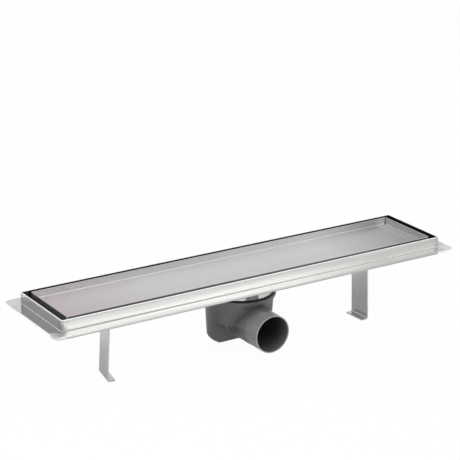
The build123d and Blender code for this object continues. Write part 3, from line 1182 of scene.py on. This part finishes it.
@dataclass
class Legs:
    """Two bent strip legs with threaded studs, washers and nuts.

    Attributes:
        edges: How the strips' edges are broken.
        nut_edges: How the edges of washers and nuts are broken.
        thread: The studs' thread.
        crest_angle: Angle from which an edge of the thread looks sharp.
    """

    edges: EdgeWork = EdgeWork(0.3 * MM)
    nut_edges: EdgeWork = EdgeWork(0.15 * MM)
    thread: ThreadedStud = ThreadedStud()
    crest_angle: float = math.radians(35.0)

    def build(self) -> None:
        """Make and dress all of it."""
        self.edges.rounded("left_leg", LEG_STEEL)
        self.edges.rounded("right_leg", LEG_STEEL)
        self.nut_edges.rounded("leg_washers", ZINC)
        self.nut_edges.rounded("leg_nuts", ZINC)
        self.studs()

    def studs(self) -> None:
        """Stand threaded studs in for the plain ones."""
        low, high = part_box("leg_studs")
        reach = high.x - self.thread.radius
        work = bmesh.new()
        for side in (-1.0, 1.0):
            self.thread.add_to(work, Vector((side * reach, 0.0, high.z)), high.z - low.z)
        bmesh.ops.recalc_face_normals(work, faces=work.faces)
        piece = new_piece("threaded_studs", work)
        piece.data.set_sharp_from_angle(angle=self.crest_angle)
        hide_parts("leg_studs")
        attach(piece, ZINC)


@dataclass(frozen=True)
class Softbox:
    """Rectangular studio lamp that looks at the drain.

    Attributes:
        name: The lamp's name.
        place: Where it hangs.
        size: Width and height.
        level: Brightness of its face, where 1 is white.
        mirrored: Whether mirror-bright steel shows it.
    """

    name: str
    place: Point
    size: tuple[float, float]
    level: float
    mirrored: bool = True

    def hang(self) -> None:
        """Put the lamp into the scene."""
        lamp = bpy.data.lights.new(self.name, "AREA")
        lamp.shape = "RECTANGLE"
        lamp.size, lamp.size_y = self.size
        lamp.energy = self.level * math.pi * self.size[0] * self.size[1]
        holder = put(self.name, lamp)
        holder.location = self.place
        holder.rotation_euler = (-Vector(self.place)).to_track_quat("-Z", "Y").to_euler()
        holder.visible_camera = False
        holder.visible_glossy = self.mirrored


@dataclass
class Studio:
    """White floor, soft lamps and the camera.

    Attributes:
        floor_half: Half size of the floor.
        floor_colour: Colour of the floor where it takes the shadow.
        floor_white: Share of plain white in the floor as the camera sees it, the rest taking the shadow.
        floor_mirrored: The same share as metal and gloss mirror it.
        ambient: Brightness of the room for diffuse light.
        dim_side: Brightness of the room's left side in mirrors, where the right side is white.
        dim_run: X of the way looked at between which the dim side turns white.
        yaw: Degrees that the camera looks towards +X from +Y.
        pitch: Degrees that it looks down.
        roll: Degrees that it is rolled.
        eye: The camera's place.
        lens: Focal length in mm.
        frame_width: Width of the camera's frame in mm.
        far: How far the camera sees.
        lamps: The softboxes.
    """

    floor_half: float = 9.0
    floor_colour: Colour = (0.86, 0.86, 0.86)
    floor_white: float = 0.975
    floor_mirrored: float = 0.2
    ambient: float = 0.45
    dim_side: float = 0.6
    dim_run: Range = (-0.45, 0.6)
    yaw: float = 33.06
    pitch: float = 19.32
    roll: float = 0.66
    eye: Point = (-1.1154, -1.6906, 0.7549)
    lens: float = 131.61
    frame_width: float = 36.0
    far: float = 100.0
    lamps: tuple[Softbox, ...] = (
        Softbox("key_softbox", (1.02, -2.08, 0.82), (1.02, 0.6), 1.4),
        Softbox("fill_softbox", (1.68, -1.65, 0.82), (0.6, 0.6), 0.5),
        Softbox("front_softbox", (-0.3, -0.95, 1.45), (2.0, 1.3), 2.6),
        Softbox("left_softbox", (-1.6, -0.35, 0.9), (1.0, 1.0), 4.2, False),
        Softbox("top_softbox", (0.1, 0.6, 2.0), (1.6, 1.2), 0.7),
    )

    def build(self) -> None:
        """Set the whole studio up."""
        bpy.context.scene.view_settings.view_transform = "Standard"
        self.room()
        self.floor()
        for lamp in self.lamps:
            lamp.hang()
        self.camera()

    def room(self) -> None:
        """White surroundings, dimmer for the light they throw and on the left in mirrors."""
        world = bpy.data.worlds.new("room")
        bpy.context.scene.world = world
        tree = NodeTree(world)
        thrown, dim, shown = (tree.node("ShaderNodeBackground", {}, {"Color": WHITE, "Strength": level})
                              for level in (self.ambient, self.dim_side, 1.0))
        camera = tree.ray("Is Camera Ray")
        light = camera | tree.contrast(tree.axis("X", "Generated"), *self.dim_run)
        mirrored = tree.node("ShaderNodeMixShader", {}, {0: light, 1: dim, 2: shown})
        seen = camera | tree.mirror_ray()
        mix = tree.node("ShaderNodeMixShader", {}, {0: seen, 1: thrown, 2: mirrored})
        tree.node("ShaderNodeOutputWorld", {}, {"Surface": mix})

    def floor(self) -> None:
        """White floor under the feet, which keeps a faint shadow."""
        half, ground = self.floor_half, CAD_BOX[0].z
        corners = [(-half, -half, ground), (half, -half, ground), (half, half, ground), (-half, half, ground)]
        mesh = bpy.data.meshes.new("floor")
        mesh.from_pydata(corners, [], [(0, 1, 2, 3)])
        plane = put("floor", mesh)
        material = bpy.data.materials.new("floor_white")
        tree = NodeTree(material)
        matt = tree.node("ShaderNodeBsdfDiffuse", {}, {"Color": opaque(self.floor_colour)})
        glow = tree.node("ShaderNodeEmission", {}, {"Color": WHITE, "Strength": 1.0})
        shown = self.floor_white * tree.ray("Is Camera Ray") | self.floor_mirrored * tree.mirror_ray()
        mix = tree.node("ShaderNodeMixShader", {}, {0: shown, 1: matt, 2: glow})
        tree.node("ShaderNodeOutputMaterial", {}, {"Surface": mix})
        mesh.materials.append(material)

    def camera(self) -> None:
        """Camera at the photograph's angle."""
        yaw, pitch, roll = (math.radians(turn) for turn in (self.yaw, self.pitch, self.roll))
        ahead = Vector((math.sin(yaw) * math.cos(pitch), math.cos(yaw) * math.cos(pitch), -math.sin(pitch)))
        level = Vector((math.cos(yaw), -math.sin(yaw), 0.0))
        upright = level.cross(ahead)
        right = math.cos(roll) * level + math.sin(roll) * upright
        up = math.cos(roll) * upright - math.sin(roll) * level
        data = bpy.data.cameras.new("camera")
        data.lens = self.lens
        data.sensor_width = self.frame_width
        data.clip_end = self.far
        camera = put("camera", data)
        turn = Matrix((right, up, -ahead)).transposed().to_4x4()
        camera.matrix_world = Matrix.Translation(self.eye) @ turn
        bpy.context.scene.camera = camera


def main() -> None:
    """Build and dress the drain, then the studio round it."""
    logging.basicConfig(level=logging.INFO, format="%(message)s")
    for assembly in (Channel(), TilePan(), Siphon(), Legs(), Studio()):
        assembly.build()
        LOG.info("built %s", type(assembly).__name__)


if __name__ == "__main__":
    main()
